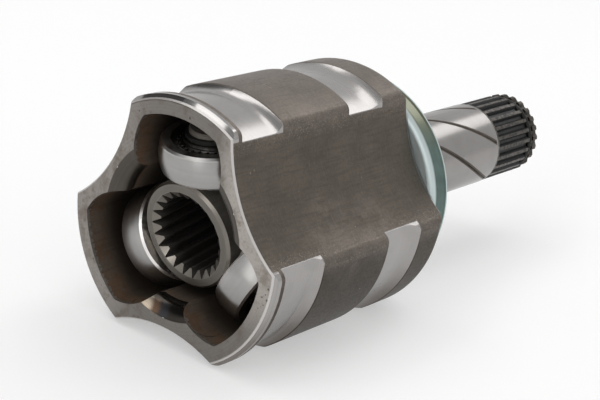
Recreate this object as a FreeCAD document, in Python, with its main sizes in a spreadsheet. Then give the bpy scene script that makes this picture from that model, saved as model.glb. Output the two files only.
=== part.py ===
# Plunging tripod joint of a drive shaft: a three lobed tulip housing forged with its stub shaft, and a
# tripod of three needle borne rollers that runs in the housing's tracks.
# Millimetres. +X runs along the joint's axis from the open mouth to the stub shaft, +Z is up, and the
# origin is the joint centre, where the tripod's three trunnion axes meet.
import FreeCAD, Part
import math
import os
import Sketcher

os.makedirs("parts", exist_ok=True)
doc = FreeCAD.newDocument("tripod_joint")

# Driving sizes: alias, value, what it is
DRIVING = [
    ("mouth_reach", 19.4, "joint centre to the mouth face, at rest"),
    ("lean", 10.0, "degrees that the tripod's top leans towards the mouth"),
    ("lobe_radius", 39.0, "outside of the three lobes"),
    ("waist_radius", 28.8, "outside of the three waists, at their middle"),
    ("waist_centre", 73.2, "axis to the centre of a waist's hollow curve"),
    ("housing_len", 77.9, "mouth face to the rear face of the tulip"),
    ("corner_round", 3.0, "rounding between lobe and waist"),
    ("track_pitch", 21.3, "axis to the centre line of a track"),
    ("track_play", 0.55, "roller to the track flanks"),
    ("pocket_radius", 33.5, "axis to the outer wall of the pockets"),
    ("land_radius", 21.0, "axis to the inner face of the waists"),
    ("pocket_depth", 67.0, "mouth face to the floor of the pockets"),
    ("pocket_round", 2.0, "rounding in the pocket corners"),
    ("land_round", 1.0, "rounding beside the inner waist faces"),
    ("lead_round", 5.0, "rounded lead in of the inner waist faces at the mouth"),
    ("rim_chamfer", 1.5, "turned chamfer round the mouth"),
    ("edge_break", 0.5, "bevel of the mouth's outer edge along the waists"),
    ("groove_depth", 2.0, "depth of the turned grooves in the lobes"),
    ("boot_groove_start", 4.1, "mouth face to the boot groove"),
    ("boot_groove_floor", 12.9, "width of the boot groove's floor"),
    ("boot_groove_ramp", 4.1, "length of its rounded far wall"),
    ("rear_groove_start", 50.1, "mouth face to the rear groove"),
    ("rear_groove_floor", 9.6, "width of the rear groove's floor"),
    ("rear_groove_ramp", 6.5, "length of its rounded far wall"),
    ("rear_round", 3.0, "rounding at the rear of the lobes"),
    ("shoulder_radius", 24.0, "shoulder that carries the dust shield"),
    ("shoulder_len", 7.5, "rear face of the tulip to the end of the shoulder"),
    ("shoulder_bevel", 1.0, "bevel of the shoulder"),
    ("neck_len", 5.0, "hollow curve from the shoulder to the journal"),
    ("journal_radius", 13.8, "ground journal of the stub shaft"),
    ("journal_end", 145.0, "mouth face to the end of the journal"),
    ("oil_lead", 149.0, "length of one whole turn of an oil groove"),
    ("oil_starts", 6, "oil grooves round the journal"),
    ("oil_width", 1.2, "width of an oil groove"),
    ("oil_depth", 0.35, "depth of an oil groove"),
    ("oil_turn", 4.5, "degrees from the top to the start of the first oil groove"),
    ("oil_land", 1.0, "plain journal left at each end of the oil grooves"),
    ("stub_end", 171.1, "mouth face to the end of the stub shaft"),
    ("relief_len", 1.0, "bevel between journal and spline"),
    ("stub_spline_tip", 13.65, "outside of the stub spline"),
    ("stub_spline_root", 12.3, "root of the stub spline"),
    ("stub_teeth", 24, "teeth on the stub shaft"),
    ("stub_gap_top", 2.5, "width of a tooth gap at the tips"),
    ("stub_gap_floor", 1.0, "width of a tooth gap at the root"),
    ("end_chamfer", 1.2, "chamfer at the end of the stub shaft"),
    ("clip_wire", 1.8, "wire of the stub circlip"),
    ("clip_play", 0.6, "groove wider than the wire"),
    ("clip_land", 3.6, "circlip groove to the end of the stub shaft"),
    ("clip_groove_radius", 11.6, "floor of the circlip groove"),
    ("clip_inner_radius", 11.75, "inside of the circlip when it is pressed in"),
    ("clip_opening", 26.0, "degrees between the ends of the circlip"),
    ("clip_turn", 197.0, "degrees from the top to the first end of the circlip"),
    ("shield_gap", 0.5, "rear face of the tulip to the dust shield"),
    ("shield_sheet", 1.0, "sheet of the dust shield"),
    ("shield_radius", 34.2, "outside of the dust shield's rim"),
    ("shield_depth", 6.5, "front of the dust shield to the end of its rim"),
    ("shield_bend", 2.2, "outer bend of the dust shield"),
    ("shield_lip", 0.5, "outward lip at the end of the rim"),
    ("shield_sleeve", 5.5, "seat of the dust shield on the shoulder"),
    ("hub_radius", 16.2, "outside of the tripod's hub"),
    ("hub_len", 26.0, "length of the hub"),
    ("hub_chamfer", 0.8, "chamfer at the ends of the hub"),
    ("hub_spline_tip", 11.1, "tooth tips in the hub's bore"),
    ("hub_spline_root", 13.2, "tooth roots in the hub's bore"),
    ("hub_teeth", 22, "teeth in the hub"),
    ("hub_gap_top", 2.4, "width of a tooth gap at the tips"),
    ("hub_gap_floor", 0.4, "width of a tooth gap at the root"),
    ("boss_radius", 10.3, "flat boss at the root of each trunnion"),
    ("boss_reach", 16.0, "joint centre to the flat of the boss"),
    ("trunnion_radius", 8.3, "needle track of the trunnion"),
    ("needle_radius", 1.0, "needle"),
    ("needle_len", 8.6, "needle"),
    ("needle_play", 0.02, "running clearance of the needles on each side"),
    ("needle_count", 28, "needles in a roller"),
    ("end_play", 0.3, "gap at each end of the needles and under the washers"),
    ("step_play", 0.15, "needles to the step that carries the outer washer"),
    ("washer_sheet", 0.6, "thickness of the inner washer"),
    ("washer_play", 0.45, "inner washer to the trunnion, all round"),
    ("washer_band", 1.15, "width of the inner washer's ring"),
    ("roller_radius", 15.9, "ball radius of a roller"),
    ("roller_width", 9.6, "roller"),
    ("roller_edge", 0.6, "bevel at the roller's outer edges"),
    ("roller_mouth", 1.9, "width of the bevel at the roller's bore"),
    ("roller_mouth_depth", 1.3, "depth of the bevel at the roller's bore"),
    ("neck_step", 1.2, "trunnion to its narrower neck"),
    ("retainer_sheet", 0.9, "thickness of the outer washer"),
    ("retainer_play", 0.15, "outer washer to the neck, all round"),
    ("retainer_radius", 8.9, "outside of the outer washer"),
    ("snap_gap", 0.1, "outer washer to the groove of the trunnion circlip"),
    ("snap_sheet", 1.1, "thickness of the trunnion circlip"),
    ("snap_play", 0.1, "groove wider than the trunnion circlip"),
    ("snap_groove", 0.7, "depth of the groove in the neck"),
    ("snap_clear", 0.05, "trunnion circlip to the floor of its groove"),
    ("snap_radius", 8.2, "outside of the trunnion circlip"),
    ("snap_opening", 50.0, "degrees between the ends of the trunnion circlip"),
    ("tip_len", 1.4, "groove to the tip of the trunnion"),
    ("tip_chamfer", 0.5, "bevel at the tip of the trunnion"),
    ("centre_mark", 1.5, "radius of the centre drilling in the trunnion's tip"),
]

sheet = doc.addObject("Spreadsheet::Sheet", "sizes")
for row, (alias, value, note) in enumerate(DRIVING, start=1):
    sheet.set(f"A{row}", note)
    sheet.set(f"B{row}", str(value))
    sheet.setAlias(f"B{row}", alias)
doc.recompute()


class Size:
    """A number with the words that give it, so that one sum both places a point and binds it."""

    def __init__(self, value, words):
        self.value = float(value)
        self.words = words

    def __add__(self, other):
        return Size(self.value + value_of(other), f"({self.words} + {words_of(other)})")

    def __sub__(self, other):
        return Size(self.value - value_of(other), f"({self.words} - {words_of(other)})")

    def __mul__(self, other):
        return Size(self.value * value_of(other), f"({self.words} * {words_of(other)})")

    def __truediv__(self, other):
        return Size(self.value / value_of(other), f"({self.words} / {words_of(other)})")

    def __neg__(self):
        return self * -1


def value_of(item):
    return item.value if isinstance(item, Size) else float(item)


def words_of(item):
    return item.words if isinstance(item, Size) else f"({item:.12g})"


def root_of(size):
    return Size(math.sqrt(size.value), f"sqrt({size.words})")


class Sizes:
    """Reads a driving size from the sheet by its alias."""

    def __getattr__(self, alias):
        return Size(sheet.get(alias), f"sizes.{alias}")


s = Sizes()
CUT_OVER = 1.0  # how far a cut runs past the steel it takes away
SAME_PLACE = 0.001  # nearer than this, two places are the same
LONG_EDGE = 10.0  # an edge along X longer than this runs the length of the tulip
TURNS = (0.0, 120.0, 240.0)
LOBES = (90.0, 210.0, 330.0)


def bind(item, prop, size):
    """Sets a property from the sheet and keeps it bound."""
    item.setExpression(prop, size.words)


def new_body(label):
    body = doc.addObject("PartDesign::Body", label)
    body.Label = label
    return body


def origin_item(body, role):
    return next(item for item in body.Origin.OriginFeatures if item.Role == role)


def pin_point(sketch, geo, end, x, y):
    """Holds an end of a line or arc at x and y, which are Sizes or exact zeros."""
    for kind, value, axis in (("DistanceX", x, -2), ("DistanceY", y, -1)):
        if value_of(value) == 0:
            sketch.addConstraint(Sketcher.Constraint("PointOnObject", geo, end, axis))
            continue
        index = sketch.addConstraint(Sketcher.Constraint(kind, -1, 1, geo, end, value_of(value)))
        bind(sketch, f"Constraints[{index}]", value)


def draw(body, plane, name, path, lift=None):
    """Draws a closed outline. Each point is (x, y) or (x, y, radius), where a radius makes the way to
    the next point an arc, centred on the left of the way if positive and on the right if negative."""
    sketch = body.newObject("Sketcher::SketchObject", name)
    sketch.AttachmentSupport = [(origin_item(body, plane), "")]
    sketch.MapMode = "FlatFace"
    if lift is not None:
        bind(sketch, "AttachmentOffset.Base.z", lift)
    ends = []
    for here, after in zip(path, path[1:] + path[:1]):
        start = FreeCAD.Vector(value_of(here[0]), value_of(here[1]), 0)
        stop = FreeCAD.Vector(value_of(after[0]), value_of(after[1]), 0)
        if len(here) == 2:
            geo = sketch.addGeometry(Part.LineSegment(start, stop))
            ends.append((geo, 1, 2))
            continue
        radius = here[2]
        chord = stop - start
        left = FreeCAD.Vector(-chord.y, chord.x, 0).normalize()
        side = 1 if radius.value > 0 else -1
        reach = math.sqrt(max(radius.value ** 2 - (chord.Length / 2) ** 2, 0))
        centre = (start + stop) * 0.5 + left * side * reach
        first, last = (start, stop) if side > 0 else (stop, start)
        circle = Part.Circle(centre, FreeCAD.Vector(0, 0, 1), abs(radius.value))
        begin = math.atan2(first.y - centre.y, first.x - centre.x)
        finish = math.atan2(last.y - centre.y, last.x - centre.x)
        geo = sketch.addGeometry(Part.ArcOfCircle(circle, begin, finish))
        index = sketch.addConstraint(Sketcher.Constraint("Radius", geo, abs(radius.value)))
        bind(sketch, f"Constraints[{index}]", radius * side)
        ends.append((geo, 1, 2) if side > 0 else (geo, 2, 1))
    for index, (geo, first, last) in enumerate(ends):
        after = ends[(index + 1) % len(ends)]
        sketch.addConstraint(Sketcher.Constraint("Coincident", geo, last, after[0], after[1]))
        pin_point(sketch, geo, first, path[index][0], path[index][1])
    return sketch


def circle_on(body, plane, name, radius, lift=None):
    """Draws a circle about the body's own axis."""
    sketch = body.newObject("Sketcher::SketchObject", name)
    sketch.AttachmentSupport = [(origin_item(body, plane), "")]
    sketch.MapMode = "FlatFace"
    if lift is not None:
        bind(sketch, "AttachmentOffset.Base.z", lift)
    centre = FreeCAD.Vector(0, 0, 0)
    sketch.addGeometry(Part.Circle(centre, FreeCAD.Vector(0, 0, 1), radius.value))
    sketch.addConstraint(Sketcher.Constraint("Coincident", 0, 3, -1, 1))
    index = sketch.addConstraint(Sketcher.Constraint("Radius", 0, radius.value))
    bind(sketch, f"Constraints[{index}]", radius)
    return sketch


def feature(body, kind, name, sketch):
    item = body.newObject(f"PartDesign::{kind}", name)
    item.Profile = (sketch, [""])
    return item


def turned(body, kind, name, sketch, axis, angle=None):
    """Revolves a profile about one of the body's axes, as a Revolution or a Groove."""
    item = feature(body, kind, name, sketch)
    item.ReferenceAxis = (origin_item(body, axis), [""])
    item.Angle = 360
    if angle is not None:
        bind(item, "Angle", angle)
    return item


def repeated(body, name, original, count, axis):
    """Repeats a feature evenly round one of the body's axes."""
    item = body.newObject("PartDesign::PolarPattern", name)
    item.Originals = [original]
    item.Axis = (origin_item(body, axis), [""])
    item.Angle = 360
    item.Occurrences = int(value_of(count))
    if isinstance(count, Size):
        bind(item, "Occurrences", count)
    body.Tip = item
    return item


def turn_point(u, v, degrees):
    """Turns a point (u along a lobe or waist, v across it) to the sketch's own axes."""
    c = math.cos(math.radians(degrees))
    n = math.sin(math.radians(degrees))
    return u * c - v * n, u * n + v * c


def round_edges(body, name, radius, chosen):
    """Rounds the body's edges that run along X and lie at the chosen distance from the axis."""
    doc.recompute()
    base = body.Tip
    names = []
    for index, edge in enumerate(base.Shape.Edges, start=1):
        if len(edge.Vertexes) != 2:
            continue
        a, b = (vertex.Point for vertex in edge.Vertexes)
        along = abs(a.x - b.x) > LONG_EDGE and math.hypot(a.y - b.y, a.z - b.z) < SAME_PLACE
        if along and abs(math.hypot(a.y, a.z) - chosen.value) < SAME_PLACE:
            names.append(f"Edge{index}")
    if len(names) != 2 * len(LOBES):
        raise RuntimeError(f"{name}: found {len(names)} edges in place of {2 * len(LOBES)}")
    item = body.newObject("PartDesign::Fillet", name)
    item.Base = (base, names)
    bind(item, "Radius", radius)
    return item


def housing_outline():
    """Three lobe arcs about the axis and three hollow waist arcs between them."""
    hollow = s.waist_centre - s.waist_radius
    reach = (s.lobe_radius * s.lobe_radius + s.waist_centre * s.waist_centre - hollow * hollow)
    u = reach / (s.waist_centre * 2)
    v = root_of(s.lobe_radius * s.lobe_radius - u * u)
    path = []
    for lobe in LOBES:
        waist = lobe + 60.0
        path.append((*turn_point(u, -v, waist), -hollow))
        path.append((*turn_point(u, v, waist), s.lobe_radius))
    return path


def pocket_outline():
    """Three pockets with round track flanks, joined by the inner faces of the waists."""
    flank = s.roller_radius + s.track_play

    def crossing(radius):
        u = (radius * radius - flank * flank + s.track_pitch * s.track_pitch)
        u = u / (s.track_pitch * 2)
        return u, root_of(radius * radius - u * u)

    wall_u, wall_v = crossing(s.pocket_radius)
    land_u, land_v = crossing(s.land_radius)
    path = []
    for lobe in LOBES:
        path.append((*turn_point(land_u, -land_v, lobe), flank))
        path.append((*turn_point(wall_u, -wall_v, lobe), s.pocket_radius))
        path.append((*turn_point(wall_u, wall_v, lobe), flank))
        path.append((*turn_point(land_u, land_v, lobe), s.land_radius))
    return path


def tooth_gap(tip, root, tip_width, root_width, over):
    """One gap between two teeth, drawn on +Y. It runs a little past the tips."""
    slope = (tip_width - root_width) / ((tip - root) * 2)
    mouth = tip + over
    half = tip_width / 2 + slope * over
    return [(root, -root_width / 2), (mouth, -half), (mouth, half), (root, root_width / 2)]


def on_waist(point):
    """Whether a place lies on the hollow outside of one of the waists."""
    hollow = s.waist_centre.value - s.waist_radius.value
    for lobe in LOBES:
        y, z = turn_point(s.waist_centre.value, 0.0, lobe + 60.0)
        if abs(math.hypot(point.y - y, point.z - z) - hollow) < SAME_PLACE:
            return True
    return False


def bevel_mouth(body):
    """Breaks the outer edges of the mouth face along the waists."""
    doc.recompute()
    base = body.Tip
    names = []
    for index, edge in enumerate(base.Shape.Edges, start=1):
        middle = edge.valueAt((edge.FirstParameter + edge.LastParameter) / 2)
        points = [vertex.Point for vertex in edge.Vertexes] + [middle]
        if all(abs(point.x) < SAME_PLACE and on_waist(point) for point in points):
            names.append(f"Edge{index}")
    if len(names) < len(LOBES):
        raise RuntimeError(f"mouth_bevel: found {len(names)} edges in place of {len(LOBES)}")
    item = body.newObject("PartDesign::Chamfer", "mouth_bevel")
    item.Base = (base, names)
    bind(item, "Size", s.edge_break)


def cut_oil_grooves(body, start, end):
    """Shallow grooves that wind along the journal like a coarse thread of many starts."""
    half = s.oil_width / 2
    section = [
        (start - half, 0),
        (start, -s.oil_depth),
        (start + half, 0),
        (start + half, s.oil_depth),
        (start - half, s.oil_depth),
    ]
    path = [(x, s.journal_radius + y) for x, y in section]
    sketch = draw(body, "XZ_Plane", "oil_section", path)
    sketch.AttachmentOffset.Rotation = FreeCAD.Rotation(FreeCAD.Vector(1, 0, 0), s.oil_turn.value)
    bind(sketch, "AttachmentOffset.Rotation.Angle", s.oil_turn)
    doc.recompute()
    groove = body.newObject("PartDesign::SubtractiveHelix", "oil_groove")
    groove.Profile = (sketch, [""])
    groove.ReferenceAxis = (origin_item(body, "X_Axis"), [""])
    groove.Mode = 0
    groove.Angle = 0
    groove.LeftHanded = False
    groove.Reversed = False
    bind(groove, "Pitch", s.oil_lead)
    bind(groove, "Height", end - start)
    body.Tip = groove
    repeated(body, "oil_grooves", groove, s.oil_starts, "X_Axis")


def make_housing():
    body = new_body("housing")
    bind(body, "Placement.Base.x", -s.mouth_reach)
    block = feature(body, "Pad", "tulip", draw(body, "YZ_Plane", "tulip_outline", housing_outline()))
    bind(block, "Length", s.housing_len)
    round_edges(body, "lobe_corners", s.corner_round, s.lobe_radius)

    neck_end = s.housing_len + s.shoulder_len + s.neck_len
    spline_start = s.journal_end + s.relief_len
    groove_width = s.clip_wire + s.clip_play
    groove_end = s.stub_end - s.clip_land
    groove_start = groove_end - groove_width
    shaft = [
        (s.pocket_depth, 0),
        (s.stub_end, 0),
        (s.stub_end, s.stub_spline_tip - s.end_chamfer),
        (s.stub_end - s.end_chamfer, s.stub_spline_tip),
        (groove_end, s.stub_spline_tip),
        (groove_end, s.clip_groove_radius),
        (groove_start, s.clip_groove_radius),
        (groove_start, s.stub_spline_tip),
        (spline_start, s.stub_spline_tip),
        (s.journal_end, s.journal_radius),
        (neck_end, s.journal_radius, -s.neck_len),
        (neck_end - s.neck_len, s.journal_radius + s.neck_len),
        (neck_end - s.neck_len, s.shoulder_radius - s.shoulder_bevel),
        (neck_end - s.neck_len - s.shoulder_bevel, s.shoulder_radius),
        (s.pocket_depth, s.shoulder_radius),
    ]
    turned(body, "Revolution", "stub_shaft", draw(body, "XZ_Plane", "shaft_profile", shaft), "X_Axis")

    pockets = feature(body, "Pocket", "tracks", draw(body, "YZ_Plane", "track_outline", pocket_outline()))
    pockets.Reversed = True
    bind(pockets, "Length", s.pocket_depth)
    round_edges(body, "pocket_corners", s.pocket_round, s.pocket_radius)
    round_edges(body, "land_corners", s.land_round, s.land_radius)

    lead = [
        (0, s.land_radius - s.lead_round),
        (s.lead_round, s.land_radius - s.lead_round),
        (s.lead_round, s.land_radius, -s.lead_round),
        (0, s.land_radius + s.lead_round),
    ]
    turned(body, "Groove", "lead_in", draw(body, "XZ_Plane", "lead_profile", lead), "X_Axis")

    floor = s.lobe_radius - s.groove_depth
    outside = s.lobe_radius + CUT_OVER

    def ramp_radius(length):
        return (length * length + s.groove_depth * s.groove_depth) / (s.groove_depth * 2)

    for name, start, width, ramp in (
        ("boot_groove", s.boot_groove_start, s.boot_groove_floor, s.boot_groove_ramp),
        ("rear_groove", s.rear_groove_start, s.rear_groove_floor, s.rear_groove_ramp),
    ):
        profile = [
            (start, floor),
            (start + width, floor, ramp_radius(ramp)),
            (start + width + ramp, s.lobe_radius),
            (start + width + ramp, outside),
            (start, outside),
        ]
        turned(body, "Groove", name, draw(body, "XZ_Plane", f"{name}_profile", profile), "X_Axis")

    rim = [
        (0, s.lobe_radius - s.rim_chamfer),
        (s.rim_chamfer, s.lobe_radius),
        (s.rim_chamfer, outside),
        (0, outside),
    ]
    turned(body, "Groove", "mouth_chamfer", draw(body, "XZ_Plane", "rim_profile", rim), "X_Axis")
    rear = [
        (s.housing_len, s.lobe_radius - s.rear_round),
        (s.housing_len, outside),
        (s.housing_len - s.rear_round, outside),
        (s.housing_len - s.rear_round, s.lobe_radius, -s.rear_round),
    ]
    turned(body, "Groove", "rear_rounding", draw(body, "XZ_Plane", "rear_profile", rear), "X_Axis")
    bevel_mouth(body)
    cut_oil_grooves(body, neck_end + s.oil_land, s.journal_end - s.oil_land)

    gap = tooth_gap(s.stub_spline_tip, s.stub_spline_root, s.stub_gap_top, s.stub_gap_floor, CUT_OVER)
    cut = feature(body, "Pocket", "stub_gap", draw(body, "YZ_Plane", "stub_gap_outline", gap, s.stub_end))
    bind(cut, "Length", s.stub_end - spline_start)
    repeated(body, "stub_spline", cut, s.stub_teeth, "X_Axis")
    return body


def make_shield():
    """A dished ring of sheet, pressed on the shoulder behind the tulip."""
    body = new_body("dust_shield")
    bind(body, "Placement.Base.x", -s.mouth_reach)
    front = s.housing_len + s.shield_gap
    back = front + s.shield_depth
    sleeve = front + s.shield_sleeve
    inner_bend = s.shield_bend - s.shield_sheet
    rim = s.shield_radius - s.shield_lip
    profile = [
        (front, s.shoulder_radius),
        (sleeve, s.shoulder_radius),
        (sleeve, s.shoulder_radius + s.shield_sheet),
        (front + s.shield_sheet, s.shoulder_radius + s.shield_sheet),
        (front + s.shield_sheet, rim - s.shield_bend, -inner_bend),
        (front + s.shield_bend, rim - s.shield_sheet),
        (back - s.shield_lip * 2, rim - s.shield_sheet),
        (back, s.shield_radius - s.shield_sheet),
        (back, s.shield_radius),
        (back - s.shield_lip * 2, rim),
        (front + s.shield_bend, rim, s.shield_bend),
        (front, rim - s.shield_bend),
    ]
    turned(body, "Revolution", "dish", draw(body, "XZ_Plane", "dish_profile", profile), "X_Axis")
    return body


def make_stub_circlip():
    """An open ring of round wire, pressed in as it is when the shaft passes a bore, and so that it
    still hangs in its groove."""
    body = new_body("stub_circlip")
    wire = s.clip_wire / 2
    middle = s.clip_inner_radius + wire
    sketch = body.newObject("Sketcher::SketchObject", "wire_section")
    sketch.AttachmentSupport = [(origin_item(body, "XZ_Plane"), "")]
    sketch.MapMode = "FlatFace"
    centre = FreeCAD.Vector(0, middle.value, 0)
    sketch.addGeometry(Part.Circle(centre, FreeCAD.Vector(0, 0, 1), wire.value))
    pin_point(sketch, 0, 3, 0, middle)
    index = sketch.addConstraint(Sketcher.Constraint("Radius", 0, wire.value))
    bind(sketch, f"Constraints[{index}]", wire)
    opening = -s.clip_opening
    turned(body, "Revolution", "ring", sketch, "X_Axis", opening + 360)
    groove_middle = s.stub_end - s.clip_land - (s.clip_wire + s.clip_play) / 2
    body.Placement.Rotation = FreeCAD.Rotation(FreeCAD.Vector(1, 0, 0), s.clip_turn.value)
    bind(body, "Placement.Base.x", groove_middle - s.mouth_reach)
    bind(body, "Placement.Base.z", s.clip_groove_radius - s.clip_inner_radius)
    bind(body, "Placement.Rotation.Angle", s.clip_turn)
    return body


def stand_on_trunnion(item, turn):
    """Leans an item of the tripod with the hub and turns it to its own trunnion."""
    lean = "rotation(vector(0; 1; 0); -sizes.lean)"
    place = f"rotation(vector(1; 0; 0); {turn})"
    item.setExpression("Placement", f"placement(vector(0; 0; 0); {lean} * {place})")


def make_spider():
    """Hub with a splined bore and three trunnions, one forging."""
    body = new_body("spider")
    half = s.hub_len / 2
    hub = [
        (-half, 0),
        (half, 0),
        (half, s.hub_radius - s.hub_chamfer),
        (half - s.hub_chamfer, s.hub_radius),
        (-half + s.hub_chamfer, s.hub_radius),
        (-half, s.hub_radius - s.hub_chamfer),
    ]
    turned(body, "Revolution", "hub", draw(body, "XZ_Plane", "hub_profile", hub), "X_Axis")

    step = needle_end() + s.step_play
    neck = s.trunnion_radius - s.neck_step
    groove = step + s.retainer_sheet + s.snap_gap
    groove_end = groove + s.snap_sheet + s.snap_play
    tip = groove_end + s.tip_len
    trunnion = [
        (0, 0),
        (s.boss_radius, 0),
        (s.boss_radius, s.boss_reach),
        (s.trunnion_radius, s.boss_reach),
        (s.trunnion_radius, step),
        (neck, step),
        (neck, groove),
        (neck - s.snap_groove, groove),
        (neck - s.snap_groove, groove_end),
        (neck, groove_end),
        (neck, tip - s.tip_chamfer),
        (neck - s.tip_chamfer, tip),
        (s.centre_mark, tip),
        (0, tip - s.centre_mark),
    ]
    outline = draw(body, "XZ_Plane", "trunnion_profile", trunnion)
    post = turned(body, "Revolution", "trunnion", outline, "Z_Axis")
    repeated(body, "trunnions", post, 3, "X_Axis")

    outline = circle_on(body, "YZ_Plane", "bore_outline", s.hub_spline_tip, half)
    bore = feature(body, "Pocket", "bore", outline)
    bind(bore, "Length", s.hub_len)
    inside = s.hub_spline_tip - CUT_OVER
    gap = [
        (inside, -s.hub_gap_top / 2),
        (s.hub_spline_tip, -s.hub_gap_top / 2),
        (s.hub_spline_root, -s.hub_gap_floor / 2),
        (s.hub_spline_root, s.hub_gap_floor / 2),
        (s.hub_spline_tip, s.hub_gap_top / 2),
        (inside, s.hub_gap_top / 2),
    ]
    cut = feature(body, "Pocket", "hub_gap", draw(body, "YZ_Plane", "hub_gap_outline", gap, half))
    bind(cut, "Length", s.hub_len)
    repeated(body, "hub_spline", cut, s.hub_teeth, "X_Axis")
    stand_on_trunnion(body, 0)
    return body


def needle_start():
    """Joint centre to the inner ends of the needles: boss, gap, inner washer, gap."""
    return s.boss_reach + s.end_play * 2 + s.washer_sheet


def needle_end():
    return needle_start() + s.needle_len


def make_roller(index, turn):
    """A ring with a ball shaped outside, on its trunnion at the distance of the track's centre line."""
    body = new_body(f"roller_{index}")
    reach = s.track_pitch
    if index == 1:
        lean = Size(math.cos(math.radians(s.lean.value)), "cos(sizes.lean * 1 deg)")
        reach = reach / lean
    bore = s.trunnion_radius + s.needle_radius * 2 + s.needle_play * 2
    half = s.roller_width / 2
    ball = s.roller_radius
    flat = root_of(ball * ball - (half - s.roller_edge) * (half - s.roller_edge))
    profile = [
        (bore, reach - half + s.roller_mouth_depth),
        (bore + s.roller_mouth, reach - half),
        (flat - s.roller_edge, reach - half),
        (flat, reach - half + s.roller_edge, ball),
        (flat, reach + half - s.roller_edge),
        (flat - s.roller_edge, reach + half),
        (bore + s.roller_mouth, reach + half),
        (bore, reach + half - s.roller_mouth_depth),
    ]
    turned(body, "Revolution", "ring", draw(body, "XZ_Plane", "ring_profile", profile), "Z_Axis")
    stand_on_trunnion(body, turn)
    return body


def make_needles(index, turn):
    """Loose needles side by side round the trunnion."""
    pitch = s.trunnion_radius + s.needle_radius + s.needle_play
    count = int(s.needle_count.value)
    needles = []
    for place in range(count):
        angle = math.radians(360.0 * place / count)
        needle = doc.addObject("Part::Cylinder", f"needle_{index}_{place + 1}")
        bind(needle, "Radius", s.needle_radius)
        bind(needle, "Height", s.needle_len)
        bind(needle, "Placement.Base.x", pitch * math.cos(angle))
        bind(needle, "Placement.Base.y", pitch * math.sin(angle))
        bind(needle, "Placement.Base.z", needle_start())
        needles.append(needle)
    group = doc.addObject("Part::Compound", f"needles_{index}")
    group.Label = f"needles_{index}"
    group.Links = needles
    stand_on_trunnion(group, turn)
    return group


def make_washer(label, inner, outer, base, sheet_len, turn):
    """A flat ring round a trunnion."""
    body = new_body(label)
    section = [(inner, base), (outer, base), (outer, base + sheet_len), (inner, base + sheet_len)]
    turned(body, "Revolution", "ring", draw(body, "XZ_Plane", "ring_section", section), "Z_Axis")
    stand_on_trunnion(body, turn)
    return body


def make_inner_washer(index, turn):
    inner = s.trunnion_radius + s.washer_play
    base = s.boss_reach + s.end_play
    return make_washer(f"inner_washer_{index}", inner, inner + s.washer_band, base, s.washer_sheet, turn)


def make_outer_washer(index, turn):
    inner = s.trunnion_radius - s.neck_step + s.retainer_play
    base = needle_end() + s.step_play
    return make_washer(f"outer_washer_{index}", inner, s.retainer_radius, base, s.retainer_sheet, turn)


def make_trunnion_circlip(index, turn):
    """An open flat ring, sprung into the groove of the trunnion's neck."""
    body = new_body(f"trunnion_circlip_{index}")
    neck = s.trunnion_radius - s.neck_step
    inner = neck - s.snap_groove + s.snap_clear
    base = needle_end() + s.step_play + s.retainer_sheet + s.snap_gap
    top = base + s.snap_sheet
    section = [(inner, base), (s.snap_radius, base), (s.snap_radius, top), (inner, top)]
    opening = -s.snap_opening
    outline = draw(body, "XZ_Plane", "ring_section", section)
    turned(body, "Revolution", "ring", outline, "Z_Axis", opening + 360)
    stand_on_trunnion(body, turn)
    return body


parts = [make_housing(), make_shield(), make_stub_circlip(), make_spider()]
for number, turn in enumerate(TURNS, start=1):
    parts.append(make_roller(number, turn))
    parts.append(make_needles(number, turn))
    parts.append(make_inner_washer(number, turn))
    parts.append(make_outer_washer(number, turn))
    parts.append(make_trunnion_circlip(number, turn))
doc.recompute()

for item in doc.Objects:
    if "Invalid" in item.State or "Error" in item.State:
        raise RuntimeError(f"{item.Name} could not be built: {item.State}")
for item in parts:
    if item.Shape.isNull() or not item.Shape.isValid():
        raise RuntimeError(f"{item.Label} has no valid shape")
    item.Shape.exportStep(f"parts/{item.Label}.step")
    box = item.Shape.BoundBox
    print(item.Label, len(item.Shape.Solids), round(item.Shape.Volume, 1), box)
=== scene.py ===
"""Looks of a plunging tripod joint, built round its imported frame.

Metres, in the frame's own axes: +X runs along the joint from the open mouth to the stub shaft, +Z is up,
and the origin is the joint centre, where the three trunnions meet."""

import math
from collections import namedtuple

import bpy
from mathutils import Matrix, Vector


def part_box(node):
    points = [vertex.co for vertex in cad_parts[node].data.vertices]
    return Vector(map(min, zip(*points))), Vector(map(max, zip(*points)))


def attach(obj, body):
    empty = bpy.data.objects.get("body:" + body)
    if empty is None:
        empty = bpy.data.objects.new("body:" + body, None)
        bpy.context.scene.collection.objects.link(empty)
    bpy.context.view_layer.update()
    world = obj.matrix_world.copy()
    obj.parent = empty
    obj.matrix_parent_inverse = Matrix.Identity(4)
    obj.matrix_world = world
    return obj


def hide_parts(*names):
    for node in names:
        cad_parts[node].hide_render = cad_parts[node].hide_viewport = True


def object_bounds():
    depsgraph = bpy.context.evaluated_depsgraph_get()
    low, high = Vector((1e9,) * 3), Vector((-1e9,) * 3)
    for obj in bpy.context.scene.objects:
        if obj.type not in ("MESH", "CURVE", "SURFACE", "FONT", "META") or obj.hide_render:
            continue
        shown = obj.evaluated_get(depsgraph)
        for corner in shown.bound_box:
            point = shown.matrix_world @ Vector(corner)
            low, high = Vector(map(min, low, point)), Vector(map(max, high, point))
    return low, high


bl_info = {
    "name": "Tripod joint looks",
    "version": (1, 0, 0),
    "blender": (4, 5, 0),
    "location": "View3D > Sidebar > Joint",
    "description": "Finishes and small parts of a plunging tripod joint",
    "category": "Object",
}

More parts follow.
